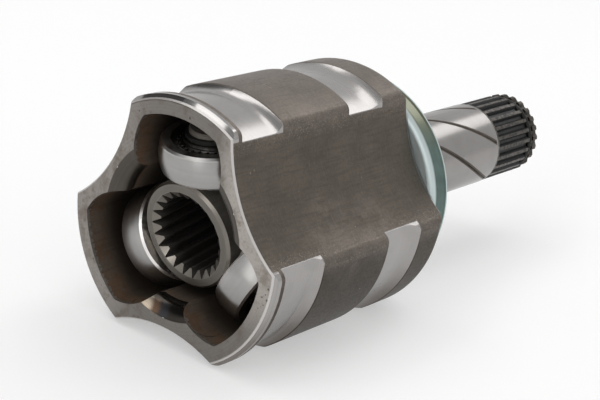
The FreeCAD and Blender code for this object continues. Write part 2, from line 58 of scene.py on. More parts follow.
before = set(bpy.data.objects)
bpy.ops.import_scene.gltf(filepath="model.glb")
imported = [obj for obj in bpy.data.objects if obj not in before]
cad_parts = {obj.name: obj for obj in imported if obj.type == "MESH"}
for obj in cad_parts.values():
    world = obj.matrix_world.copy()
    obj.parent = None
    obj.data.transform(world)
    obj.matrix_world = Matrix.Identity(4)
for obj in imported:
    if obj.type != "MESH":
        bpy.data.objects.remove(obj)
CAD_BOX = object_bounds()

MM = 1000.0
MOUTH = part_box("housing")[0].x
LOWEST = CAD_BOX[0].z
SENSOR = 0.036
LOBES = 3
FIRST_LOBE = math.radians(90)
LEAN = math.radians(10)
HUB_AXIS = Vector((math.cos(LEAN), 0.0, math.sin(LEAN)))
WELD = 1e-5


# Node materials

Skin = namedtuple("Skin", "colour roughness relief metal")


class Finish:
    """A metal node material in the making. Lengths in its patterns are millimetres from the joint centre."""

    def __init__(self, name):
        self.material = bpy.data.materials.new(name)
        self.material.use_nodes = True
        self.tree = self.material.node_tree
        self.tree.nodes.clear()
        self.shader = self.tree.nodes.new("ShaderNodeBsdfPrincipled")
        output = self.tree.nodes.new("ShaderNodeOutputMaterial")
        self.tree.links.new(self.shader.outputs["BSDF"], output.inputs["Surface"])
        coordinates = self.tree.nodes.new("ShaderNodeTexCoord")
        self.place = self.vector("SCALE", coordinates.outputs["Object"], factor=MM)
        self.x, self.y, self.z = self.apart(self.place)
        self.radius = self.about((1.0, 0.0, 0.0))[1]
        self.angle = self.math("ARCTAN2", self.z, self.y)

    def about(self, axis):
        """Distance along an axis through the joint centre, and distance from it."""
        along = self.vector("DOT_PRODUCT", self.place, tuple(axis))
        whole = self.vector("DOT_PRODUCT", self.place, self.place)
        rest = self.math("SUBTRACT", whole, self.math("MULTIPLY", along, along))
        return along, self.math("SQRT", self.math("MAXIMUM", rest, 0.0))

    def give(self, socket, value):
        """Links a socket, or sets its plain value."""
        if isinstance(value, bpy.types.NodeSocket):
            self.tree.links.new(value, socket)
        else:
            socket.default_value = value

    def math(self, operation, first, second=0.0, third=0.0):
        node = self.tree.nodes.new("ShaderNodeMath")
        node.operation = operation
        for socket, value in zip(node.inputs, (first, second, third)):
            self.give(socket, value)
        return node.outputs[0]

    def vector(self, operation, first, second=(0.0, 0.0, 0.0), factor=1.0):
        node = self.tree.nodes.new("ShaderNodeVectorMath")
        node.operation = operation
        self.give(node.inputs[0], first)
        self.give(node.inputs[1], second)
        if operation == "SCALE":
            self.give(node.inputs["Scale"], factor)
        return node.outputs["Value" if operation in ("DOT_PRODUCT", "DISTANCE", "LENGTH") else "Vector"]

    def apart(self, vector):
        node = self.tree.nodes.new("ShaderNodeSeparateXYZ")
        self.give(node.inputs[0], vector)
        return node.outputs[0], node.outputs[1], node.outputs[2]

    def together(self, x, y, z):
        node = self.tree.nodes.new("ShaderNodeCombineXYZ")
        for socket, value in zip(node.inputs, (x, y, z)):
            self.give(socket, value)
        return node.outputs[0]

    def rise(self, value, low, high):
        """0 below low, 1 above high, smooth between. With low above high it falls."""
        node = self.tree.nodes.new("ShaderNodeMapRange")
        node.interpolation_type = "SMOOTHSTEP"
        falls = low > high
        self.give(node.inputs["Value"], value)
        node.inputs["From Min"].default_value = high if falls else low
        node.inputs["From Max"].default_value = low if falls else high
        node.inputs["To Min"].default_value = 1.0 if falls else 0.0
        node.inputs["To Max"].default_value = 0.0 if falls else 1.0
        return node.outputs[0]

    def band(self, value, low, high, edge=0.05):
        """1 between low and high, with a soft edge."""
        return self.both(self.rise(value, low - edge, low + edge), self.rise(value, high + edge, high - edge))

    def both(self, *masks):
        result = masks[0]
        for mask in masks[1:]:
            result = self.math("MULTIPLY", result, mask)
        return result

    def either(self, first, second):
        return self.math("MAXIMUM", first, second)

    def other(self, mask):
        return self.math("SUBTRACT", 1.0, mask)

    def noise(self, scale, place=None, detail=3.0, rough=0.5):
        """Noise round 0.5, with scale in cells per millimetre."""
        node = self.tree.nodes.new("ShaderNodeTexNoise")
        self.give(node.inputs["Vector"], self.place if place is None else place)
        node.inputs["Scale"].default_value = scale
        node.inputs["Detail"].default_value = detail
        node.inputs["Roughness"].default_value = rough
        return node.outputs[0]

    def specks(self, size, spread, share=1.0):
        """1 in round specks about this big, cells of spread apart. Only a share of the cells has one."""
        node = self.tree.nodes.new("ShaderNodeTexVoronoi")
        self.give(node.inputs["Vector"], self.place)
        node.inputs["Scale"].default_value = 1.0 / spread
        spot = self.rise(node.outputs["Distance"], size / spread, 0.3 * size / spread)
        chance = self.apart(node.outputs["Color"])[0]
        return self.both(spot, self.math("LESS_THAN", chance, share))

    def streaks(self, stretch, scale, least):
        """1 in fine marks, drawn out by the stretch given for each axis."""
        drawn = self.vector("MULTIPLY", self.place, stretch)
        return self.rise(self.noise(scale, drawn, 2.0, 0.5), least, least + 0.05)

    def ragged(self, value, amount, scale):
        """A value whose level lines wander by about this amount, for edges that nobody drew."""
        wander = self.math("SUBTRACT", self.noise(scale, detail=4.0, rough=0.6), 0.5)
        return self.math("MULTIPLY_ADD", wander, 4.0 * amount, value)

    def near(self, point, reach, stretch=(1.0, 1.0, 1.0)):
        """1 at a place in millimetres from the joint centre, 0 from reach on. A stretch squeezes it along
        an axis."""
        offset = self.vector("MULTIPLY", self.vector("SUBTRACT", self.place, point), stretch)
        return self.rise(self.vector("LENGTH", offset), reach, 0.3 * reach)

    def lines(self, along, scale, detail=2.0):
        """Tool marks: noise that changes only along one socket."""
        return self.noise(scale, self.together(along, 0.0, 0.0), detail, 0.7)

    def mix(self, mask, under, top):
        """A number or a colour, under where the mask is 0 and top where it is 1."""
        colours = isinstance(under, tuple) or isinstance(top, tuple)
        for value in (under, top):
            if isinstance(value, bpy.types.NodeSocket) and value.type == "RGBA":
                colours = True
        node = self.tree.nodes.new("ShaderNodeMix")
        node.data_type = "RGBA" if colours else "FLOAT"
        first = 6 if colours else 2
        self.give(node.inputs[0], mask)
        self.give(node.inputs[first], under)
        self.give(node.inputs[first + 1], top)
        return node.outputs[2 if colours else 0]

    def lay(self, under, mask, top):
        """A skin laid over another one by a mask."""
        return Skin(*[self.mix(mask, low, high) for low, high in zip(under, top)])

    def done(self, skin):
        """Feeds the shader, and returns the material."""
        self.give(self.shader.inputs["Base Color"], skin.colour)
        self.give(self.shader.inputs["Roughness"], skin.roughness)
        self.give(self.shader.inputs["Metallic"], skin.metal)
        bump = self.tree.nodes.new("ShaderNodeBump")
        bump.inputs["Distance"].default_value = 1.0 / MM
        self.give(bump.inputs["Height"], skin.relief)
        self.tree.links.new(bump.outputs["Normal"], self.shader.inputs["Normal"])
        return self.material


def shade(colour, factor):
    """A colour made lighter or darker, with full alpha."""
    return (colour[0] * factor, colour[1] * factor, colour[2] * factor, 1.0)


def dress(material, *names):
    """Gives CAD nodes a material, and leaves their meshes alone."""
    for name in names:
        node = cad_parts[name]
        node.data.materials.clear()
        node.data.materials.append(material)


# Skins of steel

def forged_skin(f, colour, relief=0.05, metal=0.75):
    """Blasted and oiled forging: cloudy, with a fine weave like grain and faint drawing marks along X."""
    cloud = f.noise(0.07, detail=5.0, rough=0.6)
    grain = f.noise(1.4, detail=4.0, rough=0.7)
    drawn = f.noise(1.0, f.vector("MULTIPLY", f.place, (0.1, 1.3, 1.3)), 3.0, 0.6)
    ringed = f.noise(1.0, f.vector("MULTIPLY", f.place, (2.2, 0.3, 0.3)), 3.0, 0.6)
    tone = f.mix(f.rise(cloud, 0.32, 0.68), shade(colour, 0.86), shade(colour, 1.14))
    tone = f.mix(f.math("MULTIPLY", f.rise(drawn, 0.46, 0.66), 0.5), tone, shade(colour, 0.72))
    tone = f.mix(f.math("MULTIPLY", f.rise(ringed, 0.5, 0.68), 0.35), tone, shade(colour, 1.3))
    tone = f.mix(f.math("MULTIPLY", f.rise(grain, 0.55, 0.75), 0.4), tone, shade(colour, 0.5))
    tone = f.mix(f.math("MULTIPLY", f.rise(grain, 0.42, 0.25), 0.4), tone, shade(colour, 1.6))
    rough = f.mix(f.rise(grain, 0.3, 0.7), 0.42, 0.56)
    return Skin(tone, rough, f.math("MULTIPLY", grain, relief), metal)


def turned_skin(f, colour, along, rough=0.26, pitch=4.0, relief=0.006):
    """Lathe turned or ground: fine rings that change along the value given, and a faint cloud."""
    rings = f.lines(along, pitch)
    cloud = f.noise(0.16, detail=3.0)
    tone = f.mix(f.rise(rings, 0.3, 0.7), shade(colour, 0.9), shade(colour, 1.06))
    tone = f.mix(f.math("MULTIPLY", f.rise(cloud, 0.45, 0.7), 0.5), tone, shade(colour, 0.86))
    return Skin(tone, f.mix(rings, rough * 0.8, rough * 1.25), f.math("MULTIPLY", rings, relief), 1.0)


def plain_skin(colour, factor, rough, relief=0.0, metal=1.0):
    """A smooth even skin, for what is laid over another one."""
    return Skin(shade(colour, factor), rough, relief, metal)


class StudioSizes(bpy.types.PropertyGroup):
    """The camera at the photograph's angle, and a plain pale studio."""

    azimuth: bpy.props.FloatProperty(
        name="Azimuth", description="Camera round the joint, 0 looks along +Y", default=math.radians(-52.462),
        subtype="ANGLE", unit="ROTATION")
    elevation: bpy.props.FloatProperty(
        name="Elevation", description="Camera above the horizon", default=math.radians(19.456),
        subtype="ANGLE", unit="ROTATION")
    roll: bpy.props.FloatProperty(
        name="Roll", description="Camera turned about its view", default=math.radians(6.541),
        subtype="ANGLE", unit="ROTATION")
    distance: bpy.props.FloatProperty(
        name="Distance", description="Camera to the point it aims at", default=0.4893, unit="LENGTH")
    aim: bpy.props.FloatProperty(
        name="Aim", description="Mouth face to the point on the axis that the camera aims at", default=0.060,
        unit="LENGTH")
    lens: bpy.props.FloatProperty(
        name="Lens", description="Focal length in millimetres on a 36 mm sensor", default=96.33)
    shift: bpy.props.FloatVectorProperty(
        name="Shift", description="Camera shift in widths of the picture", size=2,
        default=(-0.01312, -0.01412))
    floor_colour: bpy.props.FloatVectorProperty(
        name="Floor", description="Colour of the floor and backdrop", size=3, subtype="COLOR",
        default=(0.58, 0.58, 0.58), min=0.0, max=1.0)
    glow: bpy.props.FloatProperty(
        name="Glow", description="Light of the paper as the camera and glossy pieces show it", default=0.42,
        min=0.0)
    walls: bpy.props.FloatProperty(
        name="Walls", description="Brightness of the studio's walls", default=0.8, min=0.0)
    dim: bpy.props.FloatVectorProperty(
        name="Dim sides", description="Brightness where the studio is open: above the mouth, and behind it",
        size=2, default=(0.5, 0.12), min=0.0)
    lamps: bpy.props.FloatVectorProperty(
        name="Lamps", description="Brightness of the soft boxes: past the stub shaft, behind, in front",
        size=3, default=(1.85, 2.2, 1.9), min=0.0)


SoftBox = namedtuple("SoftBox", "name azimuth elevation width height")
SOFT_BOXES = (
    SoftBox("stub_side_box", -3.0, 51.0, 0.42, 0.92),
    SoftBox("back_box", 115.0, 61.0, 1.20, 0.33),
    SoftBox("front_box", -172.0, 22.0, 0.42, 1.00),
)
BOX_DISTANCE = 1.1
# Directions from which less light comes, with the cosines at which the dimming starts and is full
OpenSide = namedtuple("OpenSide", "way start full")
OPEN_SIDES = (
    OpenSide(Vector((-0.55, -0.10, 0.83)), 0.55, 0.95),
    OpenSide(Vector((-0.21, 0.90, 0.37)), 0.81, 0.93),
)


def camera_axes(sizes):
    """Right, up and back of the camera."""
    a, e, roll = sizes.azimuth, sizes.elevation, sizes.roll
    back = Vector((math.sin(a) * math.cos(e), -math.cos(a) * math.cos(e), math.sin(e)))
    level = Vector((math.cos(a), math.sin(a), 0.0))
    upright = back.cross(level)
    right = level * math.cos(roll) + upright * math.sin(roll)
    return right, back.cross(right), back


class JOINT_OT_studio(bpy.types.Operator):
    """Build the floor, backdrop, lamps, world and camera"""

    bl_idname = "joint.studio"
    bl_label = "Studio"

    def execute(self, context):
        sizes = context.scene.joint_studio
        self.place_camera(context, sizes)
        self.build_floor(context, sizes)
        self.light_world(context, sizes)
        self.place_lamps(context, sizes)
        context.scene.view_settings.view_transform = "Standard"
        return {"FINISHED"}

    def place_camera(self, context, sizes):
        right, up, back = camera_axes(sizes)
        camera = bpy.data.objects.new("camera", bpy.data.cameras.new("camera"))
        context.scene.collection.objects.link(camera)
        turn = Matrix((right, up, back)).transposed().to_4x4()
        target = Vector((MOUTH + sizes.aim, 0.0, 0.0))
        camera.matrix_world = Matrix.Translation(target + back * sizes.distance) @ turn
        camera.data.sensor_width = SENSOR * MM
        camera.data.lens = sizes.lens
        camera.data.shift_x, camera.data.shift_y = sizes.shift
        camera.data.clip_start = 0.01
        context.scene.camera = camera

    def build_floor(self, context, sizes):
        """One sheet that runs back as the floor and curves up as the backdrop."""
        back = camera_axes(sizes)[2]
        away = Vector((-back.x, -back.y, 0.0)).normalized()
        side = Vector((away.y, -away.x, 0.0))
        near, far, half_width, bend, height, steps = 4.0, 2.0, 5.0, 0.6, 1.6, 12
        profile = [(-near, 0.0), (far, 0.0)]
        for step in range(1, steps + 1):
            turn = math.radians(90) * step / steps
            profile.append((far + bend * math.sin(turn), bend * (1.0 - math.cos(turn))))
        profile.append((far + bend, height))
        points = []
        for run, rise in profile:
            for edge in (-half_width, half_width):
                points.append(away * run + side * edge + Vector((0.0, 0.0, LOWEST + rise)))
        faces = [(2 * i, 2 * i + 1, 2 * i + 3, 2 * i + 2) for i in range(len(profile) - 1)]
        mesh = bpy.data.meshes.new("floor")
        mesh.from_pydata([tuple(p) for p in points], [], faces)
        floor = bpy.data.objects.new("floor", mesh)
        context.scene.collection.objects.link(floor)
        mesh.shade_smooth()
        mesh.materials.append(self.floor_paint(sizes))

    def floor_paint(self, sizes):
        material = bpy.data.materials.new("studio_paper")
        material.use_nodes = True
        nodes, links = material.node_tree.nodes, material.node_tree.links
        shader = nodes["Principled BSDF"]
        shader.inputs["Base Color"].default_value = (*sizes.floor_colour, 1.0)
        shader.inputs["Roughness"].default_value = 0.9
        shader.inputs["Emission Color"].default_value = (1.0, 1.0, 1.0, 1.0)
        rays = nodes.new("ShaderNodeLightPath")
        seen = nodes.new("ShaderNodeMath")
        seen.operation = "MAXIMUM"
        links.new(rays.outputs["Is Camera Ray"], seen.inputs[0])
        links.new(rays.outputs["Is Glossy Ray"], seen.inputs[1])
        also = nodes.new("ShaderNodeMath")
        also.operation = "MAXIMUM"
        links.new(seen.outputs[0], also.inputs[0])
        links.new(rays.outputs["Is Transmission Ray"], also.inputs[1])
        glow = nodes.new("ShaderNodeMath")
        glow.operation = "MULTIPLY"
        glow.inputs[1].default_value = sizes.glow
        links.new(also.outputs[0], glow.inputs[0])
        links.new(glow.outputs[0], shader.inputs["Emission Strength"])
        return material

    def light_world(self, context, sizes):
        """Even walls all round, dimmer towards the open sides, and white where the camera sees them."""
        world = bpy.data.worlds.new("studio")
        world.use_nodes = True
        context.scene.world = world
        nodes, links = world.node_tree.nodes, world.node_tree.links
        background = nodes["Background"]
        background.inputs["Color"].default_value = (1.0, 1.0, 1.0, 1.0)
        coordinates = nodes.new("ShaderNodeTexCoord")
        lit = None
        for side, dim in zip(OPEN_SIDES, sizes.dim):
            toward = nodes.new("ShaderNodeVectorMath")
            toward.operation = "DOT_PRODUCT"
            links.new(coordinates.outputs["Generated"], toward.inputs[0])
            toward.inputs[1].default_value = side.way.normalized()
            share = nodes.new("ShaderNodeMapRange")
            share.interpolation_type = "SMOOTHSTEP"
            links.new(toward.outputs["Value"], share.inputs["Value"])
            share.inputs["From Min"].default_value = side.start
            share.inputs["From Max"].default_value = side.full
            brightness = nodes.new("ShaderNodeMix")
            links.new(share.outputs["Result"], brightness.inputs[0])
            brightness.inputs[2].default_value = sizes.walls
            if lit:
                links.new(lit, brightness.inputs[2])
            brightness.inputs[3].default_value = dim
            lit = brightness.outputs[0]
        rays = nodes.new("ShaderNodeLightPath")
        shown = nodes.new("ShaderNodeMix")
        links.new(rays.outputs["Is Camera Ray"], shown.inputs[0])
        links.new(lit, shown.inputs[2])
        shown.inputs[3].default_value = 1.0
        links.new(shown.outputs[0], background.inputs["Strength"])

    def place_lamps(self, context, sizes):
        """Soft boxes round the joint. Each one's power follows from its size and brightness."""
        for box, brightness in zip(SOFT_BOXES, sizes.lamps):
            lamp = bpy.data.objects.new(box.name, bpy.data.lights.new(box.name, "AREA"))
            context.scene.collection.objects.link(lamp)
            lamp.data.shape = "RECTANGLE"
            lamp.data.size, lamp.data.size_y = box.width, box.height
            lamp.data.energy = brightness * math.pi * box.width * box.height
            azimuth, elevation = math.radians(box.azimuth), math.radians(box.elevation)
            way = Vector((math.cos(azimuth) * math.cos(elevation), math.sin(azimuth) * math.cos(elevation),
                          math.sin(elevation)))
            lamp.location = way * BOX_DISTANCE
            lamp.rotation_euler = (-way).to_track_quat("-Z", "Y").to_euler()


class HousingLooks(bpy.types.PropertyGroup):
    """Zones and colours of the tulip housing and its stub shaft. Places are from the mouth face."""

    boot_groove: bpy.props.FloatVectorProperty(
        name="Boot groove", description="Start and end of the turned boot groove", size=2,
        default=(0.0041, 0.0211), unit="LENGTH")
    rear_groove: bpy.props.FloatVectorProperty(
        name="Rear groove", description="Start and end of the turned rear groove", size=2,
        default=(0.0501, 0.0662), unit="LENGTH")
    groove_radius: bpy.props.FloatProperty(
        name="Groove radius", description="Radius of the groove floors", default=0.037, unit="LENGTH")
    chamfer: bpy.props.FloatProperty(
        name="Chamfer", description="Turned chamfer and edge round the mouth", default=0.0027, unit="LENGTH")
    bevel: bpy.props.FloatProperty(
        name="Bevel", description="Bevel of the mouth's edge along the waists", default=0.0005, unit="LENGTH")
    lead_in: bpy.props.FloatProperty(
        name="Lead in", description="Rounded lead in of the inner waist faces", default=0.005, unit="LENGTH")
    land_radius: bpy.props.FloatProperty(
        name="Land radius", description="Inner faces of the waists", default=0.021, unit="LENGTH")
    tulip_end: bpy.props.FloatProperty(
        name="Tulip end", description="Rear face of the tulip", default=0.0779, unit="LENGTH")
    journal: bpy.props.FloatVectorProperty(
        name="Journal", description="Start and end of the ground journal", size=2,
        default=(0.0904, 0.145), unit="LENGTH")
    journal_radius: bpy.props.FloatProperty(
        name="Journal radius", description="Radius of the ground journal", default=0.0138, unit="LENGTH")
    oil_lead: bpy.props.FloatProperty(
        name="Oil groove lead", description="Length of one whole turn of an oil groove", default=0.149,
        unit="LENGTH")
    oil_start: bpy.props.FloatProperty(
        name="Oil groove start", description="Angle at which an oil groove would meet the mouth face",
        default=math.radians(53.18), subtype="ANGLE", unit="ROTATION")
    oil_count: bpy.props.IntProperty(
        name="Oil grooves", description="Oil grooves round the journal", default=6, min=1)
    oil_width: bpy.props.FloatProperty(
        name="Oil groove width", description="Width of an oil groove with its dark edges", default=0.0015,
        unit="LENGTH")
    clip_groove: bpy.props.FloatProperty(
        name="Clip groove", description="Start of the circlip's groove", default=0.1651, unit="LENGTH")
    waist: bpy.props.FloatVectorProperty(
        name="Waist", description="Dark forging of the waists", size=3, subtype="COLOR",
        default=(0.110, 0.093, 0.076), min=0.0, max=1.0)
    lobe: bpy.props.FloatVectorProperty(
        name="Lobe", description="Lighter forging of the lobes", size=3, subtype="COLOR",
        default=(0.165, 0.142, 0.122), min=0.0, max=1.0)
    turned: bpy.props.FloatVectorProperty(
        name="Turned steel", description="Groove floors and the shoulder", size=3, subtype="COLOR",
        default=(0.36, 0.347, 0.337), min=0.0, max=1.0)
    ground: bpy.props.FloatVectorProperty(
        name="Ground steel", description="The journal", size=3, subtype="COLOR",
        default=(0.30, 0.288, 0.278), min=0.0, max=1.0)
    mouth: bpy.props.FloatVectorProperty(
        name="Mouth face", description="The faced rim round the mouth", size=3, subtype="COLOR",
        default=(0.235, 0.218, 0.200), min=0.0, max=1.0)
    lead: bpy.props.FloatVectorProperty(
        name="Lead in skin", description="Smooth dark skin of the lead in", size=3, subtype="COLOR",
        default=(0.085, 0.076, 0.066), min=0.0, max=1.0)
    pocket: bpy.props.FloatVectorProperty(
        name="Pockets", description="Forged tracks and pocket walls", size=3, subtype="COLOR",
        default=(0.15, 0.118, 0.092), min=0.0, max=1.0)
    rust: bpy.props.FloatVectorProperty(
        name="Rust", description="Brown skin of the pockets near the mouth", size=3, subtype="COLOR",
        default=(0.150, 0.082, 0.042), min=0.0, max=1.0)
    coat: bpy.props.FloatVectorProperty(
        name="Spline", description="Dark coat on the stub spline", size=3, subtype="COLOR",
        default=(0.042, 0.043, 0.043), min=0.0, max=1.0)


class JOINT_OT_housing(bpy.types.Operator):
    """Finish the tulip housing: forged, turned, ground and coated zones"""

    bl_idname = "joint.housing"
    bl_label = "Housing"

    # Radius from which a point counts as outside: at the waists, and how much more at the lobes
    outside_radius, outside_swell = 25.5, 11.0
    # Tones of the mouth face: all of it, its left side and the upper part of its right side. The two sides are
    # lighter as painted light, the right one as a painted highlight.
    mouth_tone, mouth_left, mouth_right = 0.82, 1.18, 1.72
    # Heat tints and a painted highlight on the low lead in: the x and z that they share, then the y, reach and
    # colour of each. The last, pale one is the painted highlight.
    tint_x, tint_z = -18.8, -23.9
    heat_tints = (
        (0.6, 3.2, (0.05, 0.05, 0.054)),
        (4.0, 3.0, (0.15, 0.095, 0.065)),
        (7.0, 3.2, (0.60, 0.50, 0.39)),
    )
    # Nicks of the mouth face: angle, radius and size
    nicks = (
        (96, 34.7, 0.5), (-174, 36.9, 0.45), (-169, 35.5, 0.4), (-169, 37.3, 0.5), (-158, 37.7, 0.4),
        (-171, 36.4, 0.3), (-166, 36.6, 0.3), (-163, 35.4, 0.25), (64, 34.9, 0.35), (-31, 34.2, 0.4),
    )
    # Scratches of the outside: the radius they lie on, then run from the mouth, angle and half length of each
    scratch_radius = 33.0
    scratches = (
        (61.7, 141.5, 1.6), (62.4, 140.0, 1.0), (66.8, 137.6, 1.8), (54.6, 176.9, 1.2), (36.1, 175.9, 0.7),
        (48.0, 150.0, 0.8), (24.5, 160.0, 0.6),
    )
    # Painted sheen: paler cloudy patches of the waist, where it shows a glow: centre and reach
    worn_patches = (((12.0, -33.1, 4.0), 16.0), ((28.0, -32.0, 2.0), 13.0))

    def execute(self, context):
        looks = context.scene.joint_housing
        f = Finish("housing_steel")
        run = f.math("SUBTRACT", f.x, MOUTH * MM)
        lobed = f.math("ABSOLUTE", f.math("COSINE", f.math(
            "MULTIPLY", f.math("SUBTRACT", f.angle, FIRST_LOBE), LOBES / 2)))
        wall = f.math("MULTIPLY_ADD", lobed, self.outside_swell, self.outside_radius)
        outside = f.rise(f.math("SUBTRACT", f.radius, wall), -0.1, 0.1)
        skin = self.outer_forging(f, looks, lobed)
        skin = self.turn_grooves(f, looks, run, skin)
        skin = f.lay(skin, f.other(outside), self.pockets(f, looks, run))
        skin = self.face_mouth(f, looks, run, outside, skin)
        dress(f.done(self.finish_shaft(f, looks, run, skin)), "housing")
        return {"FINISHED"}

    def outer_forging(self, f, looks, lobed):
        """Lighter lobes that run ragged into the dark waists, with flecks along the border. The lobes are
        darker low down as painted shade, and the waists have patches of painted sheen.
        """
        border = f.ragged(lobed, 0.03, 0.8)
        lobe = forged_skin(f, looks.lobe, 0.03)
        # Painted shade: the lobes get darker towards the bottom
        low = f.rise(f.ragged(f.z, 3.0, 0.05), 3.0, -7.0)
        lobe = f.lay(lobe, low, forged_skin(f, shade(looks.waist, 0.6), 0.05, 0.9))
        skin = f.lay(forged_skin(f, looks.waist), f.rise(border, 0.62, 0.74), lobe)
        flecks = f.both(f.band(border, 0.62, 0.78, 0.05), f.rise(f.noise(2.2, detail=3.0), 0.56, 0.64))
        skin = f.lay(skin, f.math("MULTIPLY", flecks, 0.5), plain_skin(looks.lobe, 1.7, 0.4))
        # Painted sheen: paler cloudy patches on the waist
        worn = f.either(*[f.near(centre, reach) for centre, reach in self.worn_patches])
        cloud = f.rise(f.noise(0.16, detail=5.0, rough=0.6), 0.36, 0.62)
        skin = f.lay(skin, f.math("MULTIPLY", f.both(worn, cloud), 0.6), forged_skin(f, looks.lobe, 0.03))
        marks = f.streaks((0.5, 0.12, 0.5), 0.9, 0.735)
        for run, angle, half_length in self.scratches:
            turn, radius = math.radians(angle), self.scratch_radius
            spot = (run + MOUTH * MM, radius * math.cos(turn), radius * math.sin(turn))
            scratch = f.near(spot, half_length, (6.0, 1.0, 1.0))
            marks = f.either(marks, f.both(scratch, f.rise(f.noise(2.0), 0.4, 0.5)))
        return f.lay(skin, f.math("MULTIPLY", marks, 0.6), plain_skin(looks.lobe, 2.4, 0.35))

    def dirty_below(self, f, looks, skin, start, full, share):
        """Painted shade: a darker film, for the shadowed floor that low turned faces reflect, that comes in
        from one height and is at its share at a lower one.
        """
        dirty = f.rise(f.ragged(f.z, 1.5, 0.12), start, full)
        return f.lay(skin, f.math("MULTIPLY", dirty, share), plain_skin(looks.pocket, 0.8, 0.32, 0.0, 0.8))

    def turn_grooves(self, f, looks, run, skin):
        """Bright turned floors and end walls of the two grooves, and the turned rear face, all darker low down
        as painted shade.
        """
        turned = turned_skin(f, looks.turned, f.x, 0.22)
        deep = f.rise(f.ragged(f.radius, 0.1, 1.2), looks.groove_radius * MM - 0.25,
                      looks.groove_radius * MM - 0.15)
        # Painted shade: darker towards the bottom, for the shadowed floor that these faces reflect
        turned = self.dirty_below(f, looks, turned, -12.0, -27.0, 0.65)
        for start, end in (looks.boot_groove, looks.rear_groove):
            skin = f.lay(skin, f.both(f.band(run, start * MM, end * MM - 0.25, 0.04), deep), turned)
        rear = f.rise(run, looks.tulip_end * MM - 0.3, looks.tulip_end * MM)
        return f.lay(skin, rear, turned)

    def pockets(self, f, looks, run):
        """Brown forged walls that get darker deeper in, partly with grease and partly as painted shade, a
        ragged lighter lip and the smooth lead in.
        """
        skin = forged_skin(f, looks.pocket, 0.03, 0.5)
        rust = f.both(f.rise(f.noise(0.2, detail=5.0, rough=0.65), 0.38, 0.6),
                      f.rise(f.ragged(run, 1.2, 0.4), 9.0, 6.0))
        skin = f.lay(skin, f.math("MULTIPLY", rust, 0.7), forged_skin(f, looks.rust, 0.05, 0.3))
        # Darker deeper in the pockets: partly grease, partly painted shade of the recess
        greased = f.rise(f.ragged(run, 1.2, 0.2), 4.0, 13.0)
        skin = f.lay(skin, f.math("MULTIPLY", greased, 0.85), plain_skin(looks.pocket, 0.25, 0.35, 0.0, 0.5))
        lip = f.rise(f.ragged(run, 1.3, 0.7), 1.0, 0.9)
        skin = f.lay(skin, lip, forged_skin(f, looks.mouth, 0.03))
        centre = (looks.land_radius + looks.lead_in) * MM
        bell = f.vector("LENGTH", f.together(f.math("SUBTRACT", run, looks.lead_in * MM),
                                             f.math("SUBTRACT", f.radius, centre), 0.0))
        bell = f.both(f.band(bell, looks.lead_in * MM - 0.06, looks.lead_in * MM + 0.06, 0.03),
                      f.rise(run, looks.lead_in * MM, looks.lead_in * MM - 0.1))
        lead = turned_skin(f, looks.lead, f.radius, 0.3, 1.0, 0.002)
        # Painted shade: the lead in gets darker towards the bottom
        lead = f.lay(lead, f.rise(f.z, -14.0, -20.0), plain_skin(looks.lead, 0.45, 0.2))
        # Two heat tints, then a pale painted highlight at the lead in's left end
        for y, reach, colour in self.heat_tints:
            lead = f.lay(lead, f.near((self.tint_x, y, self.tint_z), reach), plain_skin(colour, 1.0, 0.25))
        return f.lay(skin, bell, lead)

    def face_mouth(self, f, looks, run, outside, skin):
        """The faced rim, lighter at its sides as painted light, its outer rim darker at the upper left as
        painted shade and lighter low down as a painted highlight,
         with stains and pits, the chamfer of the lobes, darker low down as painted shade, and the thin bevel of
         the waists with a painted highlight."""
        chamfer = f.both(f.rise(f.ragged(run, 0.05, 1.0), looks.chamfer * MM + 0.05, looks.chamfer * MM - 0.05),
                         outside, f.rise(f.radius, looks.groove_radius * MM, looks.groove_radius * MM + 0.2))
        edge = turned_skin(f, looks.turned, f.radius, 0.09, 2.0)
        # Painted shade: the chamfer gets darker towards the bottom, for the shadowed floor it reflects
        edge = self.dirty_below(f, looks, edge, -6.0, -26.0, 0.6)
        skin = f.lay(skin, chamfer, edge)
        bevel = f.both(f.rise(run, looks.bevel * MM + 0.02, looks.bevel * MM - 0.02), outside)
        # The bare bevel, made lighter than turned steel as a painted highlight along the edge
        skin = f.lay(skin, bevel, plain_skin(looks.turned, 1.6, 0.4, 0.0, 0.8))
        flat = turned_skin(f, shade(looks.mouth, self.mouth_tone), f.radius, 0.36, 2.0)
        # Painted light: the left side of the face is lighter
        left = f.rise(f.ragged(f.y, 2.0, 0.1), 8.0, 26.0)
        flat = f.lay(flat, left, turned_skin(f, shade(looks.mouth, self.mouth_left), f.radius, 0.36, 2.0))
        # Painted highlight: the upper part of the right side is much lighter
        bright = f.both(f.rise(f.ragged(f.y, 2.0, 0.1), -13.0, -22.0), f.rise(f.z, -22.0, -4.0))
        flat = f.lay(flat, f.math("MULTIPLY", bright, 0.9),
                     turned_skin(f, shade(looks.mouth, self.mouth_right), f.radius, 0.3))
        eaten = f.both(f.specks(0.9, 2.2, 0.35), f.rise(f.ragged(f.radius, 0.6, 0.5), 36.0, 35.4),
                       f.rise(f.y, 4.0, 10.0))
        flat = f.lay(flat, f.math("MULTIPLY", eaten, 0.35), plain_skin(looks.rust, 0.6, 0.5, 0.0, 0.6))
        stain = f.rise(f.noise(0.16, detail=6.0, rough=0.7), 0.48, 0.66)
        flat = f.lay(flat, f.math("MULTIPLY", stain, 0.5), plain_skin(looks.pocket, 0.9, 0.5, 0.0, 0.8))
        fine = f.rise(f.noise(1.3, detail=4.0, rough=0.75), 0.5, 0.7)
        flat = f.lay(flat, f.math("MULTIPLY", fine, 0.35), plain_skin(looks.pocket, 0.8, 0.5, 0.0, 0.8))
        rim = f.rise(f.ragged(f.radius, 0.1, 0.6), looks.groove_radius * MM + 0.15,
                     looks.groove_radius * MM + 0.4)
